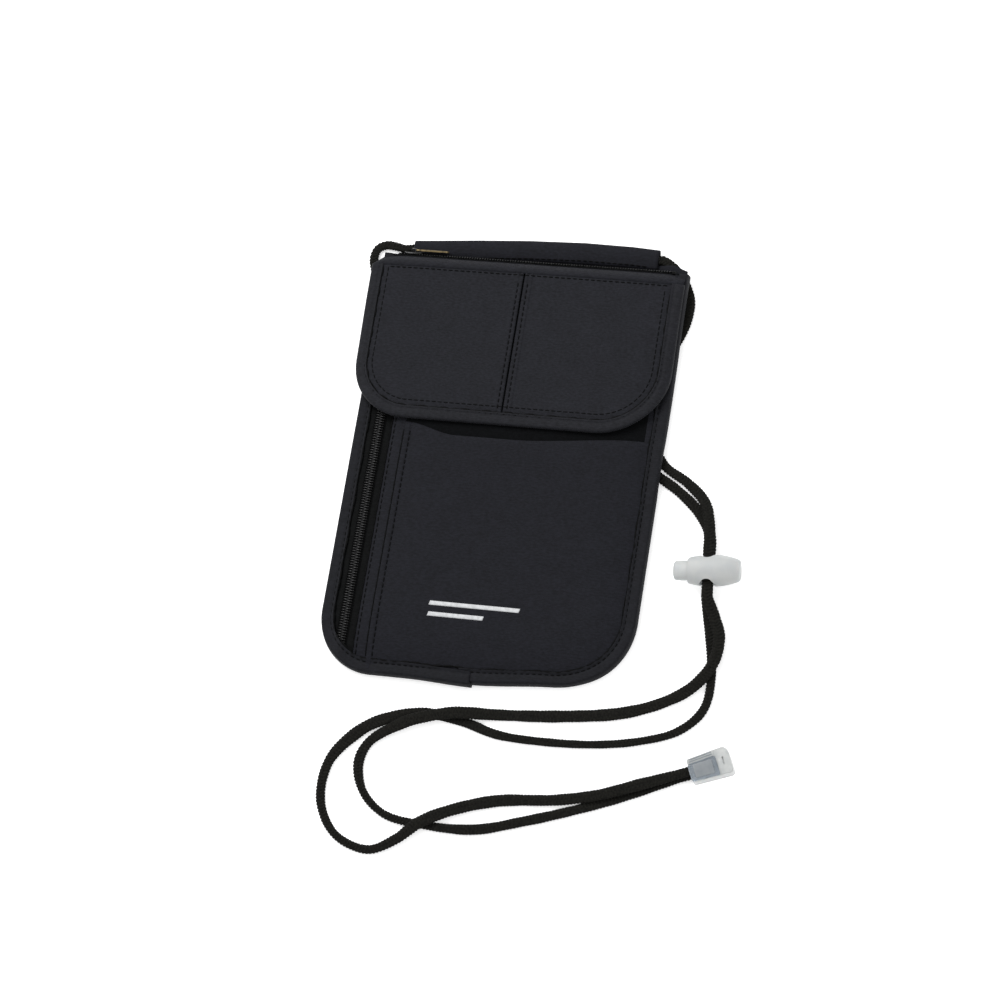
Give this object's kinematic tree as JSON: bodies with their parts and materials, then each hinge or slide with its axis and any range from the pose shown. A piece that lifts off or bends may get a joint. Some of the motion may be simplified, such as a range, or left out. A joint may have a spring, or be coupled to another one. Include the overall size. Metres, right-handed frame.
{
  "type": "neck pouch wallet",
  "caption": "Flat fabric neck pouch with a card flap, top zip, side zip, slip pocket and a flat neck cord with a spring lock and a clear cord end.",
  "frame": {"origin": "on the ground under the middle of the pouch, cord left out, with the pouch lying on its back", "axes": "+X to the pouch's right, +Y towards its top zip, +Z out of its front"},
  "size_m": [0.2132, 0.3019, 0.0122],
  "materials": {
    "shell_fabric": "fine matt polyester microfibre, charcoal black",
    "binding_tape": "woven edge binding, charcoal black",
    "lining_fabric": "thin black lining",
    "hook_and_loop": "black hook and loop tape",
    "zip_tape": "black woven zip tape",
    "zip_coil": "black nylon coil, satin",
    "zip_metal": "black painted zinc with brass showing at the edges",
    "neck_cord": "black flat polyester braid",
    "frosted_plastic": "frosted translucent natural polypropylene",
    "clear_plastic": "clear polycarbonate, lightly hazed",
    "spring_steel": "bright spring wire"
  },
  "bodies": {
    "pouch": {"back_panel": "shell_fabric", "main_pocket_lining": "lining_fabric", "front_panel": "shell_fabric", "slip_pocket_panel": "shell_fabric", "top_band": "shell_fabric", "cord_tunnel": "shell_fabric", "body_binding_left": "binding_tape", "body_binding_right": "binding_tape", "loop_patch": "hook_and_loop", "side_zip_tape_outer": "zip_tape", "side_zip_tape_inner": "zip_tape", "side_zip_coil_outer": "zip_coil", "side_zip_coil_inner": "zip_coil", "side_zip_top_stop": "zip_metal", "side_zip_bottom_stop": "zip_metal", "top_zip_tape_front": "zip_tape", "top_zip_tape_rear": "zip_tape", "top_zip_coil_front": "zip_coil", "top_zip_coil_rear": "zip_coil", "top_zip_left_stop": "zip_metal", "top_zip_right_stop": "zip_metal", "neck_cord_left": "neck_cord", "neck_cord_right": "neck_cord", "neck_cord_in_tunnel": "neck_cord", "cord_end_base": "clear_plastic"},
    "flap": {"flap_lining": "lining_fabric", "flap_pocket_left": "shell_fabric", "flap_pocket_right": "shell_fabric", "flap_binding": "binding_tape", "hook_patch": "hook_and_loop"},
    "side_slider": {"side_zip_slider": "zip_metal", "side_zip_pull": "zip_metal"},
    "top_slider": {"top_zip_slider": "zip_metal"},
    "top_pull": {"top_zip_pull": "zip_metal"},
    "lock": {"cord_lock_barrel": "frosted_plastic", "cord_lock_spring": "spring_steel"},
    "lock_button": {"cord_lock_plunger": "frosted_plastic"},
    "end_cover": {"cord_end_cover": "clear_plastic"}
  },
  "joints": [
    {"name": "flap_hinge", "type": "hinge", "parent": "pouch", "child": "flap", "pos_m": [0, 0.0906, 0.0109], "axis": [-1, 0, 0], "range_deg": [0, 178]},
    {"name": "side_zip_slide", "type": "slide", "parent": "pouch", "child": "side_slider", "axis": [0, -1, 0], "range_m": [0, 0.155]},
    {"name": "top_zip_slide", "type": "slide", "parent": "pouch", "child": "top_slider", "axis": [1, 0, 0], "range_m": [0, 0.118]},
    {"name": "top_pull_swing", "type": "hinge", "parent": "top_slider", "child": "top_pull", "pos_m": [-0.059, 0.10006, 0.00599], "axis": [0, -0.342, 0.9397], "range_deg": [0, 170]},
    {"name": "cord_lock_slide", "type": "slide", "parent": "pouch", "child": "lock", "axis": [-0.0872, 0.9962, 0], "range_m": [0, 0.008]},
    {"name": "lock_button_press", "type": "slide", "parent": "lock", "child": "lock_button", "axis": [0.9962, 0.0872, 0], "range_m": [0, 0.0035], "stiffness_N_per_m": 900, "springref_m": -0.002, "deforming": ["cord_lock_spring"]},
    {"name": "end_cover_hinge", "type": "hinge", "parent": "pouch", "child": "end_cover", "pos_m": [0.11422, -0.13194, 0.0066], "axis": [-0.8875, -0.4608, 0], "range_deg": [0, 110]}
  ]
}
